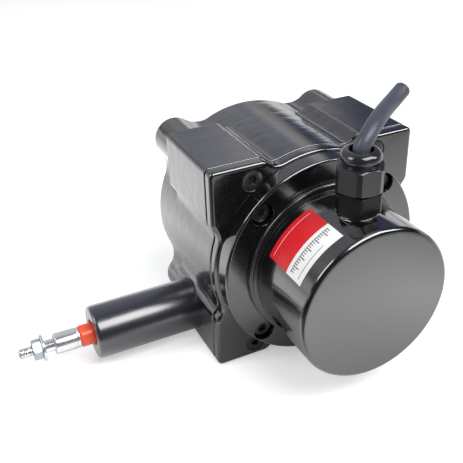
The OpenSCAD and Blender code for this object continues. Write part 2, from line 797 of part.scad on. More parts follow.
module gland_body() {
  color("#141416") place() at_gland() difference() {
    union() {
      translate([0, 0, gland_z - gland_in]) cylinder(r = gland_r, h = gland_in);
      chamfered_hex(body_af, gland_z + 0.8, neck_z, body_turn, 0.5, 0.6, body_bevel);
      translate([0, 0, gland_z]) cylinder(r = gland_r + 0.4, h = 1);
      translate([0, 0, neck_z - 1]) cylinder(r = gland_r, h = thread_h + 1);
    }
    translate([0, 0, gland_z - gland_in - 1]) cylinder(r = gland_hole_r, h = 60);
    translate([0, 0, neck_z + 1]) cylinder(r = gland_r - 1.1, h = 60);
  }
}

module gland_ring() {
  color("#101010") place() at_gland() difference() {
    translate([0, 0, gland_z]) cylinder(r = gland_r + 0.7, h = 0.8);
    translate([0, 0, gland_z - 1]) cylinder(r = gland_r + 0.4 + seat_gap, h = 3);
  }
}

module gland_seal() {
  color("#202020") place() at_gland() difference() {
    translate([0, 0, neck_z + 1]) cylinder(r = gland_r - 1.1 - seat_gap, h = nut_top - nut_roof - seat_gap * 4 - neck_z - 1);
    translate([0, 0, neck_z]) cylinder(r = cable_dia / 2 + seat_gap, h = 20);
  }
}

module gland_nut() {
  w = 2.4;
  color("#161618") place() at_gland() difference() {
    union() {
      chamfered_hex(gland_af, nut_z, nut_top, nut_turn, 0.6, 1, nut_bevel);
      rotate_extrude() polygon(concat([[0, nut_top - 1], [dome_r - 0.8, nut_top - 1],
        [dome_r - 0.8, nut_top + 0.4]], arc(dome_r - w, nut_end - w, w, -10, 90, 10), [[0, nut_end]]));
    }
    rotate_extrude() polygon([[0, nut_z - 1], [nut_bore_r, nut_z - 1], [nut_bore_r, nut_top - nut_roof],
      [dome_hole_r, nut_top - nut_roof], [dome_hole_r, nut_end + 1], [0, nut_end + 1]]);
  }
}

// tube of several sides swept along the route, one ring at each of its points
module signal_cable() {
  base = [0, gland_y, nut_end];
  n = len(ROUTE);
  function dir(i) = let (d = ROUTE[min(i + 1, n - 1)] - ROUTE[max(i - 1, 0)]) d / norm(d);
  pts = [for (i = [0:n - 1]) let (d = dir(i), u = cross([0, -1, 0], d) / norm(cross([0, -1, 0], d)), v = cross(d, u))
    for (k = [0:cord_sides - 1]) base + ROUTE[i] + cable_dia / 2 * (u * cos(360 * k / cord_sides) + v * sin(360 * k / cord_sides))];
  color("#3a3f4a") place() polyhedron(points = pts, faces = concat(
    [[for (k = [0:cord_sides - 1]) k]],
    [for (i = [0:n - 2]) for (k = [0:cord_sides - 1])
      [i * cord_sides + k, (i + 1) * cord_sides + k, (i + 1) * cord_sides + (k + 1) % cord_sides,
       i * cord_sides + (k + 1) % cord_sides]],
    [[for (k = [cord_sides - 1:-1:0]) (n - 1) * cord_sides + k]]));
}

housing_body();
front_plate();
plate_screws();
rear_cover();
cover_screws();
cover_seal();
encoder_flange();
flange_screws();
encoder_base();
cap_seal();
encoder_cap();
outlet_tube();
tube_seal();
guide_bush();
wire_wiper();
wire_bumper();
wire_ferrule();
terminal_stud();
terminal_washer();
terminal_nut();
measuring_wire();
wire_drum();
wound_wire();
drum_shaft();
shaft_clamp();
clamp_screw();
front_bearing();
rear_bearing();
inner_races();
spring_arbor();
power_spring();
spring_pin();
encoder_shaft();
encoder_bearings();
code_disc();
disc_hub();
board_posts();
sensor_board();
sensor_head();
gland_body();
gland_ring();
gland_seal();
gland_nut();
signal_cable();
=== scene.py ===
import json
import logging
import math
from dataclasses import dataclass
from enum import Enum
from typing import Optional, Sequence

import bmesh
import bpy
from mathutils import Matrix, Vector

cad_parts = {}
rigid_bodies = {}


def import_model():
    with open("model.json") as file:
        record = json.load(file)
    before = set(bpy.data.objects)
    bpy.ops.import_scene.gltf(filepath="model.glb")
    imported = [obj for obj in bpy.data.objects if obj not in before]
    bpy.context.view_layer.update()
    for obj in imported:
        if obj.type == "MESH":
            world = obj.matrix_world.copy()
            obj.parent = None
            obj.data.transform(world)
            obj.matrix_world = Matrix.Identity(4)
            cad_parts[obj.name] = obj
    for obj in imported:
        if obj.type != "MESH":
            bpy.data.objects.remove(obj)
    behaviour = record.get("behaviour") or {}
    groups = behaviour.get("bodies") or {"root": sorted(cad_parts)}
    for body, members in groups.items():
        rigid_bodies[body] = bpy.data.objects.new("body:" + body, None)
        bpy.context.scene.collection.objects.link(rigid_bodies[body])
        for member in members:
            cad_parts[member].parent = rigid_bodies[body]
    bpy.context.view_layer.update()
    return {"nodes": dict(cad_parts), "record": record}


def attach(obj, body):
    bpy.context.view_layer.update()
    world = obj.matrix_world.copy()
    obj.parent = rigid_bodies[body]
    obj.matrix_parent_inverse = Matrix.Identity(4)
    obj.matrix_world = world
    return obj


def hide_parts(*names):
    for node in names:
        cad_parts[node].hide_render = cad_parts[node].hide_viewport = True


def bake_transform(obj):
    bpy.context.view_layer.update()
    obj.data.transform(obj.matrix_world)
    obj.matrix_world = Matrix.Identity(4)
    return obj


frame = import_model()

LOG = logging.getLogger("draw_wire_encoder")
SHARED_SLOTS = {"smooth_paint": "black_paint", "tube_anodised": "black_paint", "gland_plastic_painted_shade": "gland_plastic",
                "core_sheath": "cable_sheath", "core_copper": "cable_sheath"}
"""The slot of each finish that goes into another finish's slot."""

Point = tuple[float, float, float]
Pair = tuple[float, float]
Source = tuple[bpy.types.Node, object]
"""A node and one of its outputs, by name or number."""

# Places in the row frame, in millimetres. The front plate's face is at SHAFT_Y, and sub-assemblies on it count from it.
SHAFT_Y = -22.2
SHAFT_Z = 41.0
WIRE_Y = 4.8
WIRE_Z = 12.6

MERGE_DISTANCE = 2e-6
FLAT_ANGLE = math.radians(0.4)
EDGE_ANGLE = math.radians(35.0)
SHARP_ANGLE = math.radians(46.0)
ON_AXIS = 1e-6
HOLE_BREAK = 0.15
OUTER_RUN = 50.0
"""How far a run of edges reaches, in millimetres, where it is an outer one and not a hole's."""
ROUND_STEPS = 3
ROUND_SHARE = 0.45
"""The most that a rounding takes of the line beside it."""


def mm(value: float) -> float:
    """Millimetres as metres."""
    return value * 0.001


# ---- node trees


class Tree:
    """A node tree with short ways to add and join nodes."""

    def __init__(self, tree: bpy.types.NodeTree) -> None:
        """Empties the tree of a material, a world or a Geometry Nodes group, to be filled."""
        self.tree = tree
        self.start: Optional[bpy.types.Node] = None
        tree.nodes.clear()

    def feed(self, node: bpy.types.Node, inputs: dict) -> None:
        """Sets or joins the inputs of a node.

        Args:
            node: the node that takes them.
            inputs: for each socket, by name or number, a value, a source, or the name of one of the group's inputs.
        """
        for key, value in inputs.items():
            if isinstance(value, str):
                value = (self.start, value)
            if isinstance(value, tuple) and isinstance(value[0], bpy.types.Node):
                self.tree.links.new(value[0].outputs[value[1]], node.inputs[key])
            else:
                node.inputs[key].default_value = value

    def add(self, kind: str, inputs: Optional[dict] = None, **settings: object) -> bpy.types.Node:
        """Adds a node.

        Args:
            kind: the node's type name.
            inputs: its inputs, as feed takes them.
            settings: values for its own properties.

        Returns:
            The new node.
        """
        node = self.tree.nodes.new(kind)
        for key, value in settings.items():
            setattr(node, key, value)
        self.feed(node, inputs or {})
        return node

    def math(self, operation: str, *values: object) -> Source:
        """The result of a maths node on values and sources."""
        return self.add("ShaderNodeMath", dict(enumerate(values)), operation=operation), 0

    def spread(self, source: Source, span: Pair, levels: Pair = (0.0, 1.0), smooth: bool = True) -> Source:
        """A value carried from one range to another.

        Args:
            source: the value.
            span: the range it comes in, past which the result stays level.
            levels: the results at both ends of that range.
            smooth: whether it eases in and out.

        Returns:
            The carried value.
        """
        return self.add("ShaderNodeMapRange", {
            "Value": source, "From Min": span[0], "From Max": span[1], "To Min": levels[0], "To Max": levels[1]},
            interpolation_type="SMOOTHSTEP" if smooth else "LINEAR"), 0

    def ramp(self, source: Source, stops: Sequence[tuple[float, Sequence[float]]]) -> Source:
        """Colours laid along a value.

        Args:
            source: the value.
            stops: the place and the colour of each stop.

        Returns:
            The colour.
        """
        node = self.add("ShaderNodeValToRGB", {0: source})
        band = node.color_ramp.elements
        for place, _ in stops[2:]:
            band.new(place)
        for element, (place, colour) in zip(band, stops):
            element.position = place
            element.color = (*colour, 1.0)
        return node, 0

    def noise(self, place: Source, scale: float, detail: float) -> Source:
        """Noise on coordinates."""
        return self.add("ShaderNodeTexNoise", {"Vector": place, "Scale": scale, "Detail": detail}), 0

    def coords(self, scale: Point = (1, 1, 1), output: str = "Object") -> Source:
        """Texture coordinates, Object or UV, through a mapping with a scale along each axis."""
        return self.add("ShaderNodeMapping", {"Vector": (self.add("ShaderNodeTexCoord"), output), "Scale": scale}), 0


class Graph(Tree):
    """A material's node tree, from a Principled shader to the output."""

    def __init__(self, name: str, inputs: dict) -> None:
        """Starts a material, with the shader's inputs that are plain values."""
        self.material = bpy.data.materials.new(name)
        self.material.use_nodes = True
        super().__init__(self.material.node_tree)
        self.shader = self.add("ShaderNodeBsdfPrincipled", inputs)
        self.output = self.add("ShaderNodeOutputMaterial", {"Surface": (self.shader, 0)})


# ---- materials


@dataclass(frozen=True)
class Finish:
    """A surface with a fine grain, a slow change of tone and its own gloss."""

    name: str
    colour: Sequence[float]
    roughness: float
    metallic: float = 0.0
    coat: float = 0.0
    coat_roughness: float = 0.08
    specular: float = 0.5
    ior: float = 1.5
    coat_ior: float = 1.5
    grain: float = 900.0
    stretch: Point = (1, 1, 1)
    bump: float = 0.02
    tone: float = 0.12
    rough_spread: float = 0.08
    patches: float = 45.0
    wave: float = 0.0
    wave_scale: float = 260.0
    wave_stretch: Point = (1, 1, 1)
    alpha: float = 1.0
    edge_tint: float = 1.0

    def shade(self, factor: float) -> tuple[float, ...]:
        """The colour, lighter or darker by a factor."""
        return tuple(min(1.0, c * factor) for c in self.colour[:3])

    def build(self) -> bpy.types.Material:
        """Makes the material on Object coordinates."""
        graph = Graph(self.name, {
            "Metallic": self.metallic, "Coat Weight": self.coat, "Coat Roughness": self.coat_roughness,
            "Specular IOR Level": self.specular, "IOR": self.ior, "Coat IOR": self.coat_ior, "Alpha": self.alpha,
            "Specular Tint": (self.edge_tint, self.edge_tint, self.edge_tint, 1.0)})
        patches = graph.noise(graph.coords(), self.patches, 3.0)
        fine = graph.noise(graph.coords(self.stretch), self.grain, 2.0)
        relief = {"Strength": 0.35, "Distance": mm(self.bump), "Height": fine}
        if self.wave:
            swell = graph.noise(graph.coords(self.wave_stretch), self.wave_scale, 1.0)
            peel = graph.add("ShaderNodeBump", {"Strength": 0.5, "Distance": mm(self.wave), "Height": swell}), 0
            relief["Normal"] = peel
            graph.feed(graph.shader, {"Coat Normal": peel})
        gloss = (max(0.02, self.roughness - self.rough_spread), min(1.0, self.roughness + self.rough_spread))
        graph.feed(graph.shader, {
            "Base Color": graph.ramp(patches, ((0.35, self.shade(1 - self.tone)), (0.68, self.shade(1 + self.tone)))),
            "Roughness": graph.spread(fine, (0.0, 1.0), gloss, smooth=False),
            "Normal": (graph.add("ShaderNodeBump", relief), 0)})
        return graph.material


@dataclass(frozen=True)
class LabelPrint:
    """A plain two-colour label: a red band and a white band with a graduated scale, and no words.

    Places across the bands run from 0 at the red edge to 1 at the white edge, and along them from 0 to 1.
    """

    name: str = "label_print"
    red: Sequence[float] = (0.68, 0.01, 0.018)
    white: Sequence[float] = (0.86, 0.86, 0.85)
    ink: Sequence[float] = (0.03, 0.03, 0.035)
    divide: float = 0.56
    ticks: float = 24.0
    ticks_per_long: float = 4.0
    print_span: Pair = (0.06, 0.94)
    scale_line: Pair = (0.645, 0.66)
    short_tick: Pair = (0.66, 0.73)
    long_tick: Pair = (0.66, 0.79)
    ink_line: Pair = (0.885, 0.897)
    ink_line_span: Pair = (0.06, 0.7)
    pale_line: Pair = (0.1, 0.108)

    def build(self) -> bpy.types.Material:
        """Makes the print from the label's own UV map."""
        graph = Graph(self.name, {"Roughness": 0.33, "Coat Weight": 0.15})
        uv = graph.add("ShaderNodeTexCoord"), "UV"
        split = graph.add("ShaderNodeSeparateXYZ", {0: uv})
        across, along = (split, 0), (split, 1)

        def within(source: Source, span: Pair) -> Source:
            """A mask that is 1 between two values."""
            return graph.math("MULTIPLY", graph.math("GREATER_THAN", source, span[0]),
                              graph.math("LESS_THAN", source, span[1]))

        def line(place: Pair, span: Source) -> Source:
            """A mask of a line between two places across the bands, where another mask is 1."""
            return graph.math("MULTIPLY", within(across, place), span)

        def repeated(count: float, share: float, place: Pair) -> Source:
            """A mask of ticks between two places across the bands, each a share of its cell."""
            cell = graph.math("FRACT", graph.math("MULTIPLY", along, count))
            return line(place, graph.math("MULTIPLY", within(cell, (0.0, share)), whole))

        whole = within(along, self.print_span)
        layers = [(within(across, (-1.0, self.divide)), self.red)]
        layers += [(mask, self.ink) for mask in (
            repeated(self.ticks, 0.34, self.short_tick),
            repeated(self.ticks / self.ticks_per_long, 0.1, self.long_tick),
            line(self.scale_line, whole), line(self.ink_line, within(along, self.ink_line_span)))]
        layers.append((line(self.pale_line, whole), self.white))
        speck = graph.noise(uv, 60.0, 2.0)
        colour = graph.ramp(speck, ((0.3, [c * 0.97 for c in self.white]), (0.7, self.white)))
        for mask, paint in layers:
            colour = graph.add("ShaderNodeMix", {0: mask, 6: colour, 7: (*paint, 1.0)}, data_type="RGBA"), 2
        graph.feed(graph.shader, {"Base Color": colour})
        return graph.material


class Paintbox:
    """Every finish of the encoder, made once and handed out by name."""

    def __init__(self) -> None:
        """Lists the finishes."""
        self.made: dict[str, bpy.types.Material] = {}
        self.kinds = {kind.name: kind for kind in (
            Finish("black_paint", (0.004, 0.0041, 0.005), 0.19, coat=1.0, ior=1.9, coat_ior=1.6,
                   coat_roughness=0.11, grain=700, bump=0.006, tone=0.15, rough_spread=0.05, wave=0.3,
                   wave_scale=230.0, wave_stretch=(0.3, 1.0, 1.0)),
            Finish("smooth_paint", (0.004, 0.0041, 0.005), 0.17, coat=1.0, ior=1.9, coat_ior=1.6,
                   coat_roughness=0.08, grain=700, bump=0.0025, tone=0.15, rough_spread=0.05, wave=0.02),
            Finish("tube_anodised", (0.01, 0.0105, 0.021), 0.3, coat=1.0, ior=1.9, coat_ior=1.6,
                   coat_roughness=0.2, grain=700, bump=0.002, tone=0.1, rough_spread=0.04),
            Finish("base_metal", (0.008, 0.0083, 0.01), 0.26, coat=0.7, coat_roughness=0.12, ior=1.8, grain=1600,
                   bump=0.002),
            Finish("gland_plastic", (0.014, 0.014, 0.016), 0.17, coat=0.6, specular=0.6, grain=1200, bump=0.008,
                   rough_spread=0.04),
            # Painted shade: a darker, less glossy copy of gland_plastic for the gland's body, which sits low on the
            # black cap.
            Finish("gland_plastic_painted_shade", (0.008, 0.008, 0.009), 0.2, specular=0.28, grain=1200, bump=0.008, rough_spread=0.04),
            Finish("cable_sheath", (0.05, 0.054, 0.076), 0.42, coat=0.12, coat_roughness=0.3, grain=1400, tone=0.2,
                   wave=0.12, wave_scale=160.0),
            Finish("seal_rubber", (0.02, 0.02, 0.021), 0.62, grain=1500),
            Finish("bumper_rubber", (0.82, 0.085, 0.024), 0.34, coat=0.3, grain=1600),
            Finish("zinc_steel", (0.93, 0.94, 0.96), 0.19, metallic=0.86, grain=1400, stretch=(1.0, 0.25, 0.25),
                   bump=0.006, tone=0.05, edge_tint=0.3),
            Finish("nut_zinc", (0.5, 0.55, 0.62), 0.3, metallic=0.55, grain=1400, bump=0.006, tone=0.06,
                   rough_spread=0.06, edge_tint=0.3),
            Finish("dark_steel", (0.05, 0.05, 0.054), 0.3, metallic=0.6, coat=0.6, coat_roughness=0.12, grain=2200,
                   bump=0.012, tone=0.3),
            Finish("bearing_steel", (0.7, 0.71, 0.73), 0.2, metallic=1.0, grain=2500, bump=0.004),
            Finish("drum_metal", (0.6, 0.61, 0.63), 0.34, metallic=1.0, grain=1500, stretch=(1, 8, 1)),
            Finish("spring_steel", (0.32, 0.36, 0.43), 0.3, metallic=1.0, stretch=(1, 6, 1)),
            Finish("wire_steel", (0.62, 0.63, 0.66), 0.3, metallic=1.0, grain=2600),
            Finish("brass", (0.72, 0.5, 0.2), 0.3, metallic=1.0, grain=1800),
            Finish("felt", (0.72, 0.69, 0.6), 0.95, grain=2200, bump=0.2, tone=0.2),
            Finish("disc_glass", (0.72, 0.82, 0.86), 0.06, specular=0.6, grain=400, bump=0.001, alpha=0.6),
            Finish("board_green", (0.02, 0.16, 0.06), 0.4, coat=0.3, grain=700, bump=0.03),
            Finish("sensor_plastic", (0.03, 0.03, 0.034), 0.5, grain=1800, bump=0.03),
            Finish("core_copper", (0.72, 0.33, 0.16), 0.3, metallic=1.0, grain=3000),
            Finish("core_sheath", (0.5, 0.5, 0.52), 0.45, grain=2500),
            LabelPrint())}

    def get(self, name: str) -> bpy.types.Material:
        """The material of that name, made the first time it is asked for."""
        if name not in self.made:
            self.made[name] = self.kinds[name].build()
        return self.made[name]


PAINT = Paintbox()


# ---- meshes


def to_object(name: str, bm: bmesh.types.BMesh, crease: float = 32.0) -> bpy.types.Object:
    """Turns a bmesh into an object with smooth faces and sharp edges past an angle.

    Args:
        name: the object's name.
        bm: the finished bmesh, freed here.
        crease: the angle in degrees past which an edge stays sharp.

    Returns:
        The new object, linked into the scene.
    """
    bmesh.ops.recalc_face_normals(bm, faces=bm.faces)
    mesh = bpy.data.meshes.new(name)
    bm.to_mesh(mesh)
    bm.free()
    mesh.shade_smooth()
    mesh.set_sharp_from_angle(angle=math.radians(crease))
    made = bpy.data.objects.new(name, mesh)
    bpy.context.scene.collection.objects.link(made)
    return made


def finalised(obj: bpy.types.Object) -> bpy.types.Object:
    """The same object, its modifiers baked into its mesh."""
    bpy.context.view_layer.update()
    graph = bpy.context.evaluated_depsgraph_get()
    mesh = bpy.data.meshes.new_from_object(obj.evaluated_get(graph), depsgraph=graph)
    obj.modifiers.clear()
    obj.data = mesh
    return obj


def cad_copy(node: str) -> bmesh.types.BMesh:
    """A merged copy of a CAD node's surface, its flat faces in one piece each."""
    bm = bmesh.new()
    bm.from_mesh(frame["nodes"][node].data)
    bmesh.ops.remove_doubles(bm, verts=bm.verts, dist=MERGE_DISTANCE)
    bmesh.ops.dissolve_limit(bm, angle_limit=FLAT_ANGLE, verts=bm.verts, edges=bm.edges,
                             use_dissolve_boundaries=False, delimit=set())
    return bm


def evened(obj: bpy.types.Object) -> bpy.types.Object:
    """The same object, its modifiers baked and its normals led by its large faces."""
    even = obj.modifiers.new("even_normals", "WEIGHTED_NORMAL")
    even.keep_sharp = True
    even.weight = 80
    finalised(obj).data.set_sharp_from_angle(angle=SHARP_ANGLE)
    return obj


def skin_of(node: str, name: str, width: float = 0.0, crease: float = 28.0) -> bpy.types.Object:
    """A clean copy of a CAD node's surface, with broken edges.

    Args:
        node: the CAD node.
        name: name of the new piece.
        width: width of the edge break in millimetres, or 0 for none.
        crease: the angle past which an edge is sharp, in degrees.

    Returns:
        The piece, not yet riding on a body.
    """
    made = to_object(name, cad_copy(node), 180.0 if width else crease)
    if not width:
        return made
    edge = made.modifiers.new("edge_break", "BEVEL")
    edge.width = mm(width)
    edge.segments = 2
    edge.limit_method = "ANGLE"
    edge.angle_limit = math.radians(crease)
    edge.use_clamp_overlap = True
    edge.harden_normals = False
    return evened(made)


def chains(edges: Sequence[bmesh.types.BMEdge]) -> list[list[bmesh.types.BMEdge]]:
    """Sorts edges into the runs that they join up into. It uses no sets, so the order is the same each time."""
    left = dict.fromkeys(reversed(edges))
    runs = []
    while left:
        run, front = [], [left.popitem()[0]]
        while front:
            edge = front.pop()
            run.append(edge)
            near = dict.fromkeys(other for vert in edge.verts for other in vert.link_edges if other in left)
            for other in near:
                del left[other]
            front += near
        runs.append(run)
    return runs


def casting(node: str, name: str, rim: float) -> bpy.types.Object:
    """A clean copy of a casting's surface, its outer edges rounded wide and its holes' edges broken.

    Args:
        node: the CAD node.
        name: name of the new piece.
        rim: rounding of the outer edges, in millimetres.

    Returns:
        The piece, not yet riding on a body.
    """
    bm = cad_copy(node)
    sharp = [edge for edge in bm.edges
             if len(edge.link_faces) == 2 and edge.is_convex and edge.calc_face_angle(0.0) > EDGE_ANGLE]
    for run in chains(sharp):
        spots = [vert.co for edge in run for vert in edge.verts]
        reach = max(max(p[axis] for p in spots) - min(p[axis] for p in spots) for axis in range(3))
        width, segments = (rim, 4) if reach > mm(OUTER_RUN) else (HOLE_BREAK, 2)
        bmesh.ops.bevel(bm, geom=run, offset=mm(width), offset_type="OFFSET", affect="EDGES",
                        segments=segments, profile=0.5, clamp_overlap=False)
    bmesh.ops.triangulate(bm, faces=[face for face in bm.faces if len(face.verts) > 4])
    return evened(to_object(name, bm, 180.0))


def bridge(bm: bmesh.types.BMesh, rings: Sequence[list[bmesh.types.BMVert]]) -> None:
    """Makes the faces between each ring of corners and the next.

    Args:
        bm: the mesh.
        rings: the rings, all as long as each other. A ring on the axis holds one corner over and over.
    """
    for first, second in zip(rings, rings[1:]):
        for corners in zip(first, first[1:] + first[:1], second[1:] + second[:1], second):
            apart = [corner for n, corner in enumerate(corners) if corner not in corners[:n]]
            if len(apart) > 2:
                bm.faces.new(apart)


def lathe(name: str, profile: Sequence[Pair], centre: Point, steps: int) -> bpy.types.Object:
    """Turns a profile about an axis along X.

    Args:
        name: the object's name.
        profile: [radius, x] points in millimetres, round the section in order.
        centre: the point on the axis from which x runs, in millimetres.
        steps: faces round the piece.

    Returns:
        The turned piece, closed.
    """
    bm = bmesh.new()
    rings = []
    for radius, x in profile:
        ring = []
        for i in range(steps if radius > ON_AXIS else 1):
            turn = 2 * math.pi * i / steps
            u, v = radius * math.cos(turn), radius * math.sin(turn)
            ring.append(bm.verts.new([mm(a + b) for a, b in zip(centre, (x, u, v))]))
        rings.append(ring if len(ring) > 1 else ring * steps)
    bridge(bm, rings + rings[:1])
    return to_object(name, bm)


def rounded(profile: Sequence[Pair], radius: float) -> list[Pair]:
    """Rounds the corners of a profile, apart from those on the axis.

    Args:
        profile: the section's points in order.
        radius: the most that a corner is rounded, in millimetres.

    Returns:
        The longer list of points.
    """
    result: list[Pair] = []
    for i, here in enumerate(profile):
        if here[0] < ON_AXIS:
            result.append(here)
            continue
        corner = Vector(here)
        before, after = Vector(profile[i - 1]) - corner, Vector(profile[(i + 1) % len(profile)]) - corner
        cut = min(radius, before.length * ROUND_SHARE, after.length * ROUND_SHARE)
        start, end = corner + before.normalized() * cut, corner + after.normalized() * cut
        for k in range(ROUND_STEPS + 1):
            t = k / ROUND_STEPS
            point = start * (1 - t) ** 2 + corner * 2 * t * (1 - t) + end * t * t
            result.append((point.x, point.y))
    return result


def smooth_path(points: Sequence[Point], per_span: int) -> list[Vector]:
    """A curve through points, in the order given.

    Args:
        points: the points to pass through, in millimetres.
        per_span: steps between one point and the next.

    Returns:
        The finer list of points.
    """
    knots = [Vector(p) for p in points]
    knots = [2 * knots[0] - knots[1]] + knots + [2 * knots[-1] - knots[-2]]
    result = []
    for a, b, c, d in zip(knots, knots[1:], knots[2:], knots[3:]):
        for i in range(per_span):
            t = i / per_span
            result.append(0.5 * (2 * b + (c - a) * t + (2 * a - 5 * b + 4 * c - d) * t * t
                                 + (3 * b - a - 3 * c + d) * t ** 3))
    return result + [knots[-2]]


def swept(name: str, path: Sequence[Vector], radius: float, sides: int = 28) -> bpy.types.Object:
    """A round rod along a path.

    Args:
        name: the object's name.
        path: the centreline's points, in millimetres.
        radius: the rod's radius, in millimetres.
        sides: faces round the rod.

    Returns:
        The rod, closed at both ends.
    """
    bm = bmesh.new()
    rings = []
    side = Vector((0, -1, 0))
    for i, here in enumerate(path):
        ahead = (path[min(i + 1, len(path) - 1)] - path[max(i - 1, 0)]).normalized()
        side = (side - ahead * side.dot(ahead)).normalized()
        up = ahead.cross(side)
        rings.append([bm.verts.new((here + radius * (side * math.cos(a) + up * math.sin(a))) * mm(1))
                      for a in (2 * math.pi * k / sides for k in range(sides))])
    bridge(bm, rings)
    bm.faces.new(rings[0][::-1])
    bm.faces.new(rings[-1])
    return to_object(name, bm, 50.0)


# ---- geometry nodes


class NodeModel(Tree):
    """A Geometry Nodes tree built in the script, run on a carrier object and then made plain mesh."""

    def __init__(self, name: str, **inputs: str) -> None:
        """Starts the tree, with the kind of each named input. A Material input is added to them."""
        super().__init__(bpy.data.node_groups.new(name, "GeometryNodeTree"))
        sockets = self.tree.interface
        self.ids = {label: sockets.new_socket(label, in_out="INPUT", socket_type="NodeSocket" + kind).identifier
                    for label, kind in (inputs | {"Material": "Material"}).items()}
        sockets.new_socket("Geometry", in_out="OUTPUT", socket_type="NodeSocketGeometry")
        self.start = self.add("NodeGroupInput")
        self.end = self.add("NodeGroupOutput")

    def close(self, source: Source) -> "NodeModel":
        """Ends the tree with its resulting geometry, by Realize Instances and Set Material, and returns it."""
        real = self.add("GeometryNodeRealizeInstances", {0: source}), 0
        self.feed(self.end, {0: (self.add("GeometryNodeSetMaterial", {0: real, "Material": "Material"}), 0)})
        return self

    def spiral(self, resolution: int, height: str, sides: int, section_r: str) -> Source:
        """A rod wound in a spiral of the inputs Radius and Turns.

        Args:
            resolution: steps in each turn.
            height: the input with the spiral's height.
            sides: faces round the rod.
            section_r: the input with the rod's radius.

        Returns:
            The rod, closed at both ends.
        """
        coil = self.add("GeometryNodeCurveSpiral", {
            "Resolution": resolution, "Rotations": "Turns", "Start Radius": "Radius", "End Radius": "Radius",
            "Height": height}), 0
        section = self.add("GeometryNodeCurvePrimitiveCircle", {"Resolution": sides, "Radius": section_r},
                           mode="RADIUS"), 0
        return self.add("GeometryNodeCurveToMesh", {"Curve": coil, "Profile Curve": section, "Fill Caps": True}), 0

    def make(self, name: str, material: str, values: dict[str, object]) -> bpy.types.Object:
        """Runs the tree with given values and keeps the result as a plain mesh.

        Args:
            name: the new object's name.
            material: the finish's name.
            values: a value for each of the other named inputs.

        Returns:
            The object with the finished mesh.
        """
        carrier = bpy.data.objects.new(name, bpy.data.meshes.new(name))
        bpy.context.scene.collection.objects.link(carrier)
        modifier = carrier.modifiers.new("nodes", "NODES")
        modifier.node_group = self.tree
        for label, value in (values | {"Material": PAINT.get(material)}).items():
            modifier[self.ids[label]] = value
        finalised(carrier)
        carrier.data.shade_smooth()
        carrier.data.set_sharp_from_angle(angle=math.radians(34.0))
        return carrier


def four_of_model() -> NodeModel:
    """A tree that sets one template at the four corners of an upright rectangle."""
    model = NodeModel("four_corners", Template="Object", Across="Float", Up="Float", Place="Vector")
    grid = model.add("GeometryNodeMeshGrid", {"Size X": "Across", "Size Y": "Up", "Vertices X": 2, "Vertices Y": 2}), 0
    upright = model.add("GeometryNodeTransform", {
        0: grid, "Rotation": (math.pi / 2, 0, 0), "Translation": "Place"}), 0
    piece = model.add("GeometryNodeObjectInfo", {"Object": "Template"}), "Geometry"
    return model.close((model.add("GeometryNodeInstanceOnPoints", {"Points": upright, "Instance": piece}), 0))


def thread_model() -> NodeModel:
    """A tree that winds a thread's ridge about the Z axis and lays it at its place."""
    model = NodeModel("thread_ridge", Radius="Float", Turns="Float", Height="Float", Ridge="Float", Lie="Vector",
                      Place="Vector")
    ridge = model.spiral(48, "Height", 6, "Ridge")
    return model.close((model.add("GeometryNodeTransform", {0: ridge, "Rotation": "Lie", "Translation": "Place"}), 0))


def strand_model() -> NodeModel:
    """A tree that lays several spiral strands side by side along the X axis, as in a wire rope."""
    model = NodeModel("laid_strands", Strands="Int", Radius="Float", Turns="Float", Length="Float", Strand="Float",
                      Place="Vector")
    strand = model.spiral(10, "Length", 7, "Strand")
    ring = model.add("GeometryNodeMeshCircle", {"Vertices": "Strands", "Radius": 0.0}), 0
    share = model.math("DIVIDE", (model.add("GeometryNodeInputIndex"), 0), "Strands")
    spin = model.add("ShaderNodeCombineXYZ", {"Z": model.math("MULTIPLY", share, 2 * math.pi)}), 0
    several = model.add("GeometryNodeInstanceOnPoints", {"Points": ring, "Instance": strand, "Rotation": spin}), 0
    return model.close((model.add("GeometryNodeTransform", {
        0: several, "Rotation": (0, math.pi / 2, 0), "Translation": "Place"}), 0))


# ---- sub-assemblies


def settle(piece: bpy.types.Object, finish: str, node: str = "", body: str = "housing") -> bpy.types.Object:
    """Dresses a piece and puts it on its body.

    Args:
        piece: the finished mesh.
        finish: the finish's name.
        node: the CAD node that it stands for, if any.
        body: the body it rides on.

    Returns:
        The piece.
    """
    piece.data.materials.clear()
    piece.data.materials.append(PAINT.get(finish))
    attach(piece, body)
    slot = SHARED_SLOTS.get(finish, finish)
    if node:
        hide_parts(node)
    LOG.info("%s: %d faces on %s", piece.name, len(piece.data.polygons), body)
    return piece


@dataclass
class CastHousing:
    """The painted castings: housing, front plate, rear cover and adapter disc."""

    edge: float = 0.5
    plate_edge: float = 1.3
    cover_crease: float = 30.0

    def build(self) -> None:
        """Makes and dresses the four castings."""
        settle(casting("housing_body", "housing_shell", self.edge), "black_paint", "housing_body")
        settle(casting("front_plate", "front_plate_shell", self.plate_edge), "smooth_paint", "front_plate")
        settle(skin_of("rear_cover", "rear_cover_shell", crease=self.cover_crease), "black_paint", "rear_cover")
        settle(casting("encoder_flange", "adapter_disc", self.edge), "smooth_paint", "encoder_flange")


class Drive(Enum):
    """The socket in a screw's head."""

    HEX = 6
    STAR = 12


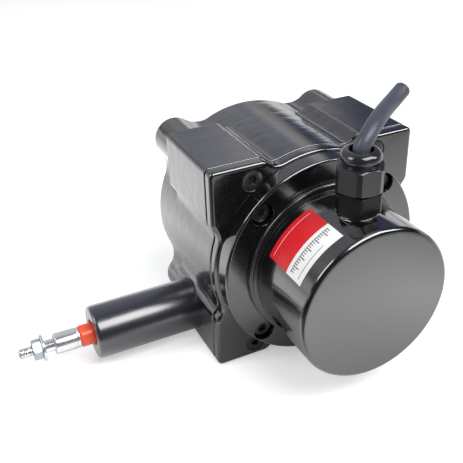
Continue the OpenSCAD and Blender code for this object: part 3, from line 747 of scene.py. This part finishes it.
@dataclass
class ScrewKind:
    """One kind of screw, set four at a time in the housing at the corners of a rectangle about the shaft."""

    node: str
    drive: Drive
    across: float
    up: float
    y: float
    head_r: float
    head_h: float
    shank_l: float
    shank_r: float = 2.0
    countersunk: bool = False
    socket_r: float = 1.75
    socket_depth: float = 1.7
    socket_tip: float = 0.35
    star_depth: float = 0.224
    facing: int = 1
    steps: int = 48

    def head(self) -> bpy.types.Object:
        """Makes one screw at the origin, its head's top face at y = 0 and its shank towards +Y.

        Returns:
            The template object.
        """
        recess = [self.recess_radius(i) for i in range(self.steps)]
        end = self.head_h + self.shank_l
        # Each level is a share of the socket's radius, what is added to it, and its place along the screw.
        levels = [(0.0, 0.0, self.socket_depth + self.socket_tip), (0.98, 0.0, self.socket_depth), (1.0, 0.0, 0.34),
                  (1.0, 0.26, 0.0), (0.0, self.head_r - 0.45, 0.0)]
        if self.countersunk:
            levels += [(0.0, self.head_r - 0.08, 0.16), (0.0, self.head_r, 0.34)]
        else:
            levels += [(0.0, self.head_r - 0.1, 0.1), (0.0, self.head_r, 0.36), (0.0, self.head_r, self.head_h)]
        levels += [(0.0, self.shank_r, self.head_h), (0.0, self.shank_r, end), (0.0, 0.0, end)]
        bm = bmesh.new()
        rings = []
        for share, extra, y in levels:
            ring = []
            for i in range(self.steps if share or extra else 1):
                turn, radius = 2 * math.pi * i / self.steps, mm(share * recess[i] + extra)
                ring.append(bm.verts.new((radius * math.cos(turn), mm(y) * self.facing, radius * math.sin(turn))))
            rings.append(ring if len(ring) > 1 else ring * self.steps)
        bridge(bm, rings)
        return to_object(self.node + "_template", bm, 40.0)

    def recess_radius(self, step: int) -> float:
        """Radius of the socket at one step round the head, in millimetres."""
        turn = 360.0 * step / self.steps
        if self.drive is Drive.STAR:
            return self.socket_r * (1 - self.star_depth * (1 - math.cos(math.radians(turn * 6))) / 2)
        flat = (turn + 30) % 60 - 30
        return self.socket_r * math.cos(math.radians(30)) / math.cos(math.radians(flat))

    def build(self, corners: NodeModel) -> None:
        """Sets four of the screw in place of the CAD node.

        Args:
            corners: the tree that sets a template at four corners.
        """
        template = self.head()
        made = corners.make(self.node + "_set", "dark_steel", {
            "Template": template, "Across": mm(self.across), "Up": mm(self.up),
            "Place": (0.0, mm(self.y + SHAFT_Y), mm(SHAFT_Z))})
        bpy.data.objects.remove(template)
        settle(made, "dark_steel", self.node)


SCREWS = (
    ScrewKind("plate_screws", Drive.STAR, across=50.0, up=70.0, y=0.1, head_r=3.9, head_h=2.2, shank_l=12.0,
              countersunk=True),
    ScrewKind("flange_screws", Drive.HEX, across=49.5, up=49.5, y=-5.1, head_r=3.5, head_h=4.0, shank_l=5.6),
    ScrewKind("cover_screws", Drive.HEX, across=63.8, up=63.8, y=56.4, head_r=3.5, head_h=4.0, shank_l=20.6,
              facing=-1))


@dataclass
class EncoderHead:
    """The round encoder: base ring, cap and the plain label on the cap."""

    cap_r: float = 29.0
    cap_edge: float = 1.0
    base_edge: float = 0.4
    label_front: float = -34.2
    label_rear: float = -13.8
    label_low: float = -64.0
    label_high: float = -21.3
    label_lift: float = 0.1
    label_steps: tuple[int, int] = (36, 20)

    def build(self) -> None:
        """Makes and dresses the encoder's outside."""
        settle(casting("encoder_base", "encoder_base_ring", self.base_edge), "base_metal", "encoder_base")
        settle(casting("encoder_cap", "encoder_cap_shell", self.cap_edge), "smooth_paint", "encoder_cap")
        settle(self.label(), "label_print").visible_glossy = False

    def label_point(self, u: float, v: float, lift: float) -> Point:
        """A point of the label in metres, by its shares round (u) and along (v) the cap and its height over it."""
        turn = math.radians(self.label_low + (self.label_high - self.label_low) * u)
        radius = self.cap_r + lift
        y = self.label_rear + (self.label_front - self.label_rear) * v
        return mm(radius * math.sin(turn)), mm(y + SHAFT_Y), mm(radius * math.cos(turn) + SHAFT_Z)

    def label(self) -> bpy.types.Object:
        """The label as a thin curved plate on the cap, with its own UV map.

        Returns:
            The label's object. U runs along the cap from the rear end, V round it from the low end.
        """
        bm = bmesh.new()
        uv = bm.loops.layers.uv.new("UVMap")
        across, along = self.label_steps
        top, under = [[[bm.verts.new(self.label_point(i / across, j / along, lift)) for i in range(across + 1)]
                       for j in range(along + 1)] for lift in (self.label_lift, 0.0)]
        for j in range(along):
            for i in range(across):
                face = bm.faces.new((top[j][i], top[j][i + 1], top[j + 1][i + 1], top[j + 1][i]))
                for loop, (du, dv) in zip(face.loops, ((0, 0), (1, 0), (1, 1), (0, 1))):
                    loop[uv].uv = ((j + dv) / along, (i + du) / across)
                bm.faces.new((under[j][i], under[j + 1][i], under[j + 1][i + 1], under[j][i + 1]))
        rim = ([(0, i) for i in range(across)] + [(j, across) for j in range(along)]
               + [(along, i) for i in range(across, 0, -1)] + [(j, 0) for j in range(along, 0, -1)])
        for (j, i), (q, p) in zip(rim, rim[1:] + rim[:1]):
            bm.faces.new((top[j][i], top[q][p], under[q][p], under[j][i]))
        return to_object("cap_label", bm, 40.0)


@dataclass
class CableGland:
    """The gland on the cap: fixed body with its thread, domed nut, and the cable."""

    threads: NodeModel
    y: float = -26.1
    body_top: float = 37.5
    nut_end: float = 51.5
    thread_r: float = 5.85
    thread_run: float = 1.6
    turns: float = 1.6
    ridge_r: float = 0.28
    cable_r: float = 2.8
    route: tuple = ((0, 0, -26), (0, 0, -14), (0, 0, -6), (0, 0, -1), (0.5, 0.2, 0.8), (2, 0.8, 2.4),
                    (4.8, 2.5, 4.1), (7.9, 4.6, 5.2), (12, 7.6, 6), (17.4, 11.4, 6.6), (22.4, 14.5, 7.4),
                    (27.4, 17, 9))
    route_steps: int = 3
    cores: int = 5
    core_ring: float = 1.35
    core_r: float = 0.62
    strand_r: float = 0.34

    def build(self) -> None:
        """Makes and dresses the gland and its cable."""
        # The gland's body takes the painted-shade copy of the gland plastic.
        settle(skin_of("gland_body", "gland_body_shell", 0.18), "gland_plastic_painted_shade", "gland_body")
        settle(skin_of("gland_nut", "gland_nut_shell", 0.25, 24.0), "gland_plastic", "gland_nut")
        ridge = self.threads.make("gland_thread", "gland_plastic", {
            "Radius": mm(self.thread_r), "Turns": self.turns, "Height": mm(self.thread_run), "Ridge": mm(self.ridge_r),
            "Lie": (0.0, 0.0, 0.0), "Place": (0.0, mm(self.y + SHAFT_Y), mm(self.body_top - 0.2 + SHAFT_Z))})
        settle(ridge, "gland_plastic")
        self.cable()

    def cable(self) -> None:
        base = Vector((0, self.y + SHAFT_Y, self.nut_end + SHAFT_Z))
        path = smooth_path([tuple(base + Vector(p)) for p in self.route], self.route_steps)
        lead = settle(swept("signal_lead", path, self.cable_r), "cable_sheath", "signal_cable")
        ahead = (path[-1] - path[-2]).normalized()
        side = Vector((0, 0, 1)).cross(ahead).normalized()
        up = ahead.cross(side)
        for number in range(self.cores):
            turn = math.radians(360 / self.cores * number + 20)
            centre = path[-1] + self.core_ring * (side * math.cos(turn) + up * math.sin(turn))
            line = [centre - 0.6 * ahead, centre - 0.2 * ahead, centre + 0.06 * ahead]
            settle(swept(f"lead_core_{number}", line, self.core_r, 16), "core_sheath")
            line = [p + 0.04 * ahead for p in line]
            settle(swept(f"lead_strand_{number}", line, self.strand_r, 12), "core_copper")


@dataclass
class WireOutlet:
    """The outlet tube and everything on the measuring wire's end. An x is a place along the wire's axis."""

    threads: NodeModel
    strands: NodeModel
    tube_x: float = -82.0
    tube_end_x: float = -38.0
    tube_r: float = 10.4
    tube_bore_r: float = 5.2
    guide_bore_r: float = 3.2
    bush_depth: float = 11.0
    guide_depth: float = 23.0
    bumper_x: float = -87.0
    bumper_r: float = 4.2
    bumper_tail_x: float = -76.3
    ferrule_x: float = -96.9
    ferrule_r: float = 4.0
    neck_x: float = -100.6
    neck_r: float = 2.4
    washer_x: float = -101.6
    washer_r: float = 5.0
    nut_x: float = -105.0
    stud_x: float = -110.2
    stud_r: float = 1.72
    stud_core_r: float = 1.6
    stud_pitch: float = 0.7
    wire_start_x: float = -6.9
    wire_r: float = 0.5

    def axis_point(self, x: float = 0.0) -> Point:
        """A point on the wire's axis, in millimetres."""
        return (x, WIRE_Y, WIRE_Z)

    def turned(self, name: str, profile: Sequence[Pair], soften: float, finish: str, node: str) -> None:
        """Turns a piece of the wire end and dresses it.

        Args:
            name: the piece's name.
            profile: its section as [radius, x] points.
            soften: rounding of its corners, in millimetres.
            finish: the finish's name.
            node: the CAD node that it stands for.
        """
        settle(lathe(name, rounded(profile, soften), self.axis_point(), 72), finish, node, "wire_end")

    def build(self) -> None:
        """Makes and dresses the outlet and the wire end."""
        self.tube()
        r, x, tail = self.bumper_r, self.bumper_x, self.bumper_tail_x
        self.turned("bumper", [(0.9, x), (r - 0.3, x), (r, x + 0.3), (r, self.tube_x + 0.6), (2.6, tail), (0.9, tail)],
                    0.25, "bumper_rubber", "wire_bumper")
        self.ferrule()
        r, x, neck = self.washer_r, self.washer_x, self.neck_x
        self.turned("washer", [(2.2, x), (r - 0.25, x), (r, x + 0.2), (r, neck - 0.2), (r - 0.25, neck), (2.2, neck)],
                    0.08, "zinc_steel", "terminal_washer")
        settle(skin_of("terminal_nut", "end_nut", 0.12, 20.0), "nut_zinc", "terminal_nut", "wire_end")
        self.stud()
        self.wire()

    def tube(self) -> None:
        """Makes the outlet tube."""
        x, end, r, bore, guide = self.tube_x, self.tube_end_x, self.tube_r, self.tube_bore_r, self.guide_bore_r
        profile = [(bore, x + self.bush_depth), (bore, x + 0.4), (bore + 0.4, x), (r - 1.2, x), (r - 0.3, x + 0.35),
                   (r, x + 1.3), (r, end), (guide, end), (guide, x + self.guide_depth), (bore, x + self.guide_depth)]
        settle(lathe("outlet_tube_shell", rounded(profile, 0.5), self.axis_point(), 128), "tube_anodised",
               "outlet_tube")

    def ferrule(self) -> None:
        """Makes the ferrule with its neck, its crimp groove and its end inside the bumper."""
        r, core, x, neck, end = self.ferrule_r, self.wire_r, self.ferrule_x, self.neck_x, self.bumper_x
        self.turned("ferrule", [
            (1.75, neck), (self.neck_r, neck), (self.neck_r, x), (r - 0.5, x), (r, x + 0.5), (r, x + 8.3),
            (r - 0.14, x + 8.5), (r - 0.14, x + 8.9), (r, x + 9.1), (r, end - 0.4), (r - 0.4, end), (core, end),
            (core, end - 3), (0.0, end - 3), (0.0, neck + 3.7), (1.75, neck + 3.7)], 0.12, "zinc_steel", "wire_ferrule")

    def stud(self) -> None:
        """Makes the stud and its thread."""
        r, core, x, seat = self.stud_r, self.stud_core_r, self.stud_x, self.neck_x + 3.6
        self.turned("stud", [
            (0.0, x), (1.3, x), (r, x + 0.45), (r, self.nut_x + 0.2), (core, self.nut_x + 0.3), (core, seat),
            (0.0, seat)], 0.05, "zinc_steel", "terminal_stud")
        lead_in = 0.35
        run = self.nut_x - x - lead_in
        ridge = self.threads.make("stud_thread", "zinc_steel", {
            "Radius": mm(1.68), "Turns": run / self.stud_pitch, "Height": mm(run), "Ridge": mm(0.31),
            "Lie": (0.0, math.pi / 2, 0.0), "Place": tuple(mm(v) for v in self.axis_point(x + lead_in))})
        settle(ridge, "zinc_steel", body="wire_end")

    def wire(self) -> None:
        """Makes the straight measuring wire, which stretches from the drum to the wire end."""
        start, end = self.bumper_x - 2.9, self.wire_start_x
        near, far = (tuple(mm(v) for v in self.axis_point(x)) for x in (end, start))
        wire = self.strands.make("measuring_wire_rope", "wire_steel", {
            "Strands": 7, "Radius": mm(0.27), "Turns": 12.0, "Length": mm(end - start), "Strand": mm(0.125),
            "Place": far})
        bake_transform(wire)
        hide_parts("measuring_wire")
        LOG.info("%s: %d faces, stretched between bodies", wire.name, len(wire.data.polygons))


def dress_cad_nodes() -> None:
    """Gives every CAD node the finish of its slot, the visible and the sealed ones alike."""
    slots = {entry["node"]: entry["material_slot"] for entry in frame["record"]["subparts"]}
    for node, obj in frame["nodes"].items():
        obj.data.materials.clear()
        obj.data.materials.append(PAINT.get(slots[node]))
    LOG.info("%d CAD nodes dressed", len(slots))


# ---- stage


@dataclass(frozen=True)
class Lamp:
    """A soft rectangular lamp: its place and size in millimetres, and its power."""

    name: str
    place: Point
    size: Pair
    power: float
    aim: Point = (0, 0, 40)

    def build(self) -> None:
        """Makes the lamp."""
        data = bpy.data.lights.new(self.name, "AREA")
        data.shape = "RECTANGLE"
        data.size, data.size_y = mm(self.size[0]), mm(self.size[1])
        data.energy = self.power
        lamp = bpy.data.objects.new(self.name, data)
        lamp.location = Vector(self.place) * mm(1)
        lamp.rotation_euler = (Vector(self.aim) - Vector(self.place)).to_track_quat("-Z", "Y").to_euler()
        bpy.context.scene.collection.objects.link(lamp)


@dataclass
class Studio:
    """Camera, pale floor, white surroundings and soft lamps."""

    azimuth: float = -24.466
    elevation: float = 30.697
    roll: float = -2.122
    distance: float = 248.82
    target: Point = (-33.678, -22.2, 58.387)
    lens: float = 55.594
    floor_half: float = 6.0
    floor_tones: Pair = (0.895, 0.905)
    soft_level: float = 0.42
    lamps: tuple[Lamp, ...] = (
        Lamp("top_box", (150, -350, 600), (560, 340), 4.0),
        Lamp("left_box", (-520, 50, 500), (260, 340), 1.4),
        Lamp("right_box", (460, -330, 460), (200, 200), 0.8))

    def camera(self) -> None:
        """Makes the camera."""
        a, e, roll = (math.radians(v) for v in (self.azimuth, self.elevation, self.roll))
        back = Vector((math.sin(a) * math.cos(e), -math.cos(a) * math.cos(e), math.sin(e)))
        right = Vector((math.cos(a), math.sin(a), 0))
        up = back.cross(right)
        side = math.cos(roll) * right + math.sin(roll) * up
        above = -math.sin(roll) * right + math.cos(roll) * up
        place = (Vector(self.target) + back * self.distance) * mm(1)
        data = bpy.data.cameras.new("camera")
        data.sensor_width = 36.0
        data.lens = self.lens
        data.clip_start = 0.01
        data.clip_end = 50.0
        camera = bpy.data.objects.new("camera", data)
        camera.matrix_world = Matrix.Translation(place) @ Matrix((side, above, back)).transposed().to_4x4()
        bpy.context.scene.collection.objects.link(camera)
        bpy.context.scene.camera = camera

    def floor(self) -> None:
        """Makes the pale floor, which keeps the object's shadow. In gloss it carries painted shade, darker close to the
        object.
        """
        bm = bmesh.new()
        bmesh.ops.create_grid(bm, x_segments=1, y_segments=1, size=self.floor_half)
        ground = to_object("floor", bm)
        graph = Graph("floor_white", {"Roughness": 0.9, "Specular IOR Level": 0.1})
        where = graph.coords()
        tones = [(place, (tone,) * 3) for place, tone in zip((0.3, 0.7), self.floor_tones)]
        graph.feed(graph.shader, {"Base Color": graph.ramp(graph.noise(where, 30.0, 2.0), tones)})
        path = graph.add("ShaderNodeLightPath")
        glossy = path, "Is Glossy Ray"
        glow = graph.math("MULTIPLY", graph.math("MAXIMUM", (path, "Is Camera Ray"), glossy), self.soft_level)
        pale = graph.add("ShaderNodeAddShader", {
            0: (graph.shader, 0), 1: (graph.add("ShaderNodeEmission", {"Strength": glow}), 0)}), 0
        # Painted shade in reflections: glossy rays see the floor's white dimmed close to the object and in set places
        # round it.
        painted_gloss_shade = graph.math("MULTIPLY", graph.math("SUBTRACT", 1.0, self.gloss_past_painted_shade(graph, where)), glossy)
        dark = graph.add("ShaderNodeEmission", {"Strength": 0.0}), 0
        graph.feed(graph.output, {"Surface": (graph.add("ShaderNodeMixShader", {0: painted_gloss_shade, 1: pale, 2: dark}), 0)})
        ground.data.materials.append(graph.material)

    def gloss_past_painted_shade(self, graph: Graph, where: Source) -> Source:
        """How much of the floor's white gloss shows at a place in metres, from 0 to 1; the rest is painted shade."""
        split = graph.add("ShaderNodeSeparateXYZ", {0: where})
        x, y = (split, "X"), (split, "Y")
        reach = graph.add("ShaderNodeVectorMath", {0: where}, operation="LENGTH"), "Value"
        # Painted shade: most close to the object, and more towards the front, the right and the left.
        shown = graph.spread(reach, (0.035, 0.12), (0.28, 0.92), smooth=False)
        for part in (
                graph.spread(y, (-0.19, -0.1), (0.55, 1.0)),
                graph.spread(x, (0.05, 0.11), (1.0, 0.68)),
                graph.math("MAXIMUM", graph.spread(x, (-0.14, -0.1), (0.25, 1.0)), graph.spread(y, (0.035, 0.07))),
                graph.math("MAXIMUM", graph.spread(x, (-0.06, -0.02), (0.15, 1.0)), graph.spread(y, (-0.1, -0.065)))):
            shown = graph.math("MULTIPLY", shown, part)
        return shown

    def world(self) -> None:
        """Makes the surroundings: white to the camera, a studio in reflections, plain light elsewhere."""
        world = bpy.data.worlds.new("studio")
        bpy.context.scene.world = world
        world.use_nodes = True
        tree = Tree(world.node_tree)

        def background(colour: object, level: float = 1.0) -> Source:
            """Light of a colour from all round."""
            return tree.add("ShaderNodeBackground", {"Color": colour, "Strength": level}), 0

        path = tree.add("ShaderNodeLightPath")
        shiny = tree.math("MAXIMUM", (path, "Is Glossy Ray"), (path, "Is Transmission Ray"))
        unseen = tree.add("ShaderNodeMixShader", {
            0: shiny, 1: background((0.95, 0.97, 1.0, 1), self.soft_level), 2: background(self.sky(tree))}), 0
        seen = tree.add("ShaderNodeMixShader", {
            0: (path, "Is Camera Ray"), 1: unseen, 2: background((1, 1, 1, 1))}), 0
        tree.add("ShaderNodeOutputWorld", {"Surface": seen})

    def sky(self, tree: Tree) -> Source:
        """The surroundings that gloss shows: white backdrop low down, a dim blue-grey studio above it.

        Args:
            tree: the world's nodes.

        Returns:
            The colour in the direction looked at.
        """
        way = tree.add("ShaderNodeTexCoord"), "Generated"
        split = tree.add("ShaderNodeSeparateXYZ", {0: way})
        x, y, z = (split, "X"), (split, "Y"), (split, "Z")
        height = tree.ramp(z, ((0.1, (1, 1, 1)), (0.25, (0.25, 0.25, 0.27)), (0.42, (0.52, 0.52, 0.54)),
                               (1.0, (0.36, 0.37, 0.41))))
        across = tree.ramp(x, ((0.0, (1, 1, 1)), (0.345, (0.86, 0.9, 1.04)), (0.42, (1.35, 1.32, 1.3)),
                               (0.48, (1.3, 1.25, 1.18)), (0.54, (0.18, 0.22, 0.38))))
        front = tree.spread(y, (-0.2, 0.45), (0.1, 1.0))
        cloud = tree.spread(tree.noise(way, 5.0, 3.0), (0.35, 0.65), (0.88, 1.1))
        both = tree.add("ShaderNodeVectorMath", {0: height, 1: across}, operation="MULTIPLY"), 0
        dim = tree.add("ShaderNodeVectorMath", {0: both, "Scale": tree.math("MULTIPLY", front, cloud)},
                       operation="SCALE"), 0
        backdrop = tree.math("MULTIPLY", tree.spread(y, (-0.45, -0.1)), tree.spread(z, (0.1, 0.22), (1.0, 0.0)))
        return tree.add("ShaderNodeMix", {0: backdrop, 6: dim, 7: (1, 1, 1, 1)}, data_type="RGBA"), 2

    def build(self) -> None:
        """Sets the whole stage, the camera first."""
        self.camera()
        self.floor()
        self.world()
        for lamp in self.lamps:
            lamp.build()
        bpy.context.scene.view_settings.view_transform = "Standard"
        LOG.info("studio set")


def main() -> None:
    """Builds the stage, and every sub-assembly in order."""
    logging.basicConfig(level=logging.INFO, format="%(name)s: %(message)s")
    Studio().build()
    dress_cad_nodes()
    corners, threads, strands = four_of_model(), thread_model(), strand_model()
    CableGland(threads).build()
    CastHousing().build()
    for kind in SCREWS:
        kind.build(corners)
    EncoderHead().build()
    WireOutlet(threads, strands).build()


if __name__ == "__main__":
    main()
